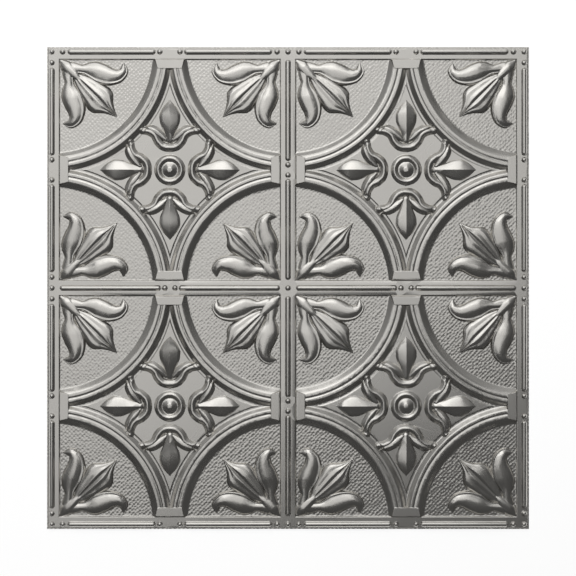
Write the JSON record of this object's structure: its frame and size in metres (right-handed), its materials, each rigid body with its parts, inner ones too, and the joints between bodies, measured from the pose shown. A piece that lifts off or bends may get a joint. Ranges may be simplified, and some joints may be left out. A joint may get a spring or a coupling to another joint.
{
  "type": "pressed tin ceiling tile",
  "caption": "Square pressed tin ceiling tile with beaded rails, raised rings, leaf sprays and rosettes in low relief.",
  "frame": {"origin": "middle of the tile on its back plane, which is the floor it lies on", "axes": "+Z out of the decorated face, +X and +Y along the rails"},
  "size_m": [0.6224, 0.6224, 0.0072],
  "materials": {
    "tinplate": "bright unpainted tinplate, slightly uneven"
  },
  "bodies": {
    "root": {"ceiling_tile": "tinplate"}
  },
  "joints": []
}
